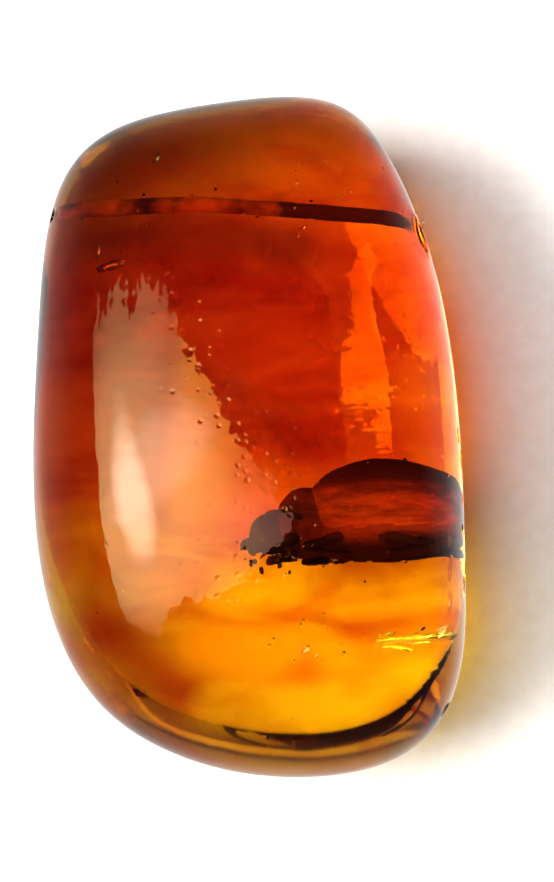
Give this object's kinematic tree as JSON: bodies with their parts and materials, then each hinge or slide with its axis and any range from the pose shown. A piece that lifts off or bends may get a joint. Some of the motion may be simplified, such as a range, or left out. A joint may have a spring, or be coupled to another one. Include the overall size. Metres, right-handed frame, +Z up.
{
  "type": "insect in amber",
  "caption": "Polished, domed amber pebble lying on its flat underside, drilled across near one end, with a dark beetle sealed inside it.",
  "frame": {"origin": "middle of the flat underside's level, under the middle of the stone's box", "axes": "+Z up out of the dome, +Y along the stone's length towards its drilled end, +X towards its steeper side"},
  "size_m": [0.02, 0.032, 0.0125],
  "materials": {
    "amber": "clear orange-brown amber, hand polished",
    "insect": "dark translucent chitin, fine lengthwise lines"
  },
  "bodies": {
    "root": {"amber_lower_half": "amber", "amber_upper_half": "amber", "beetle": "insect"}
  },
  "joints": []
}
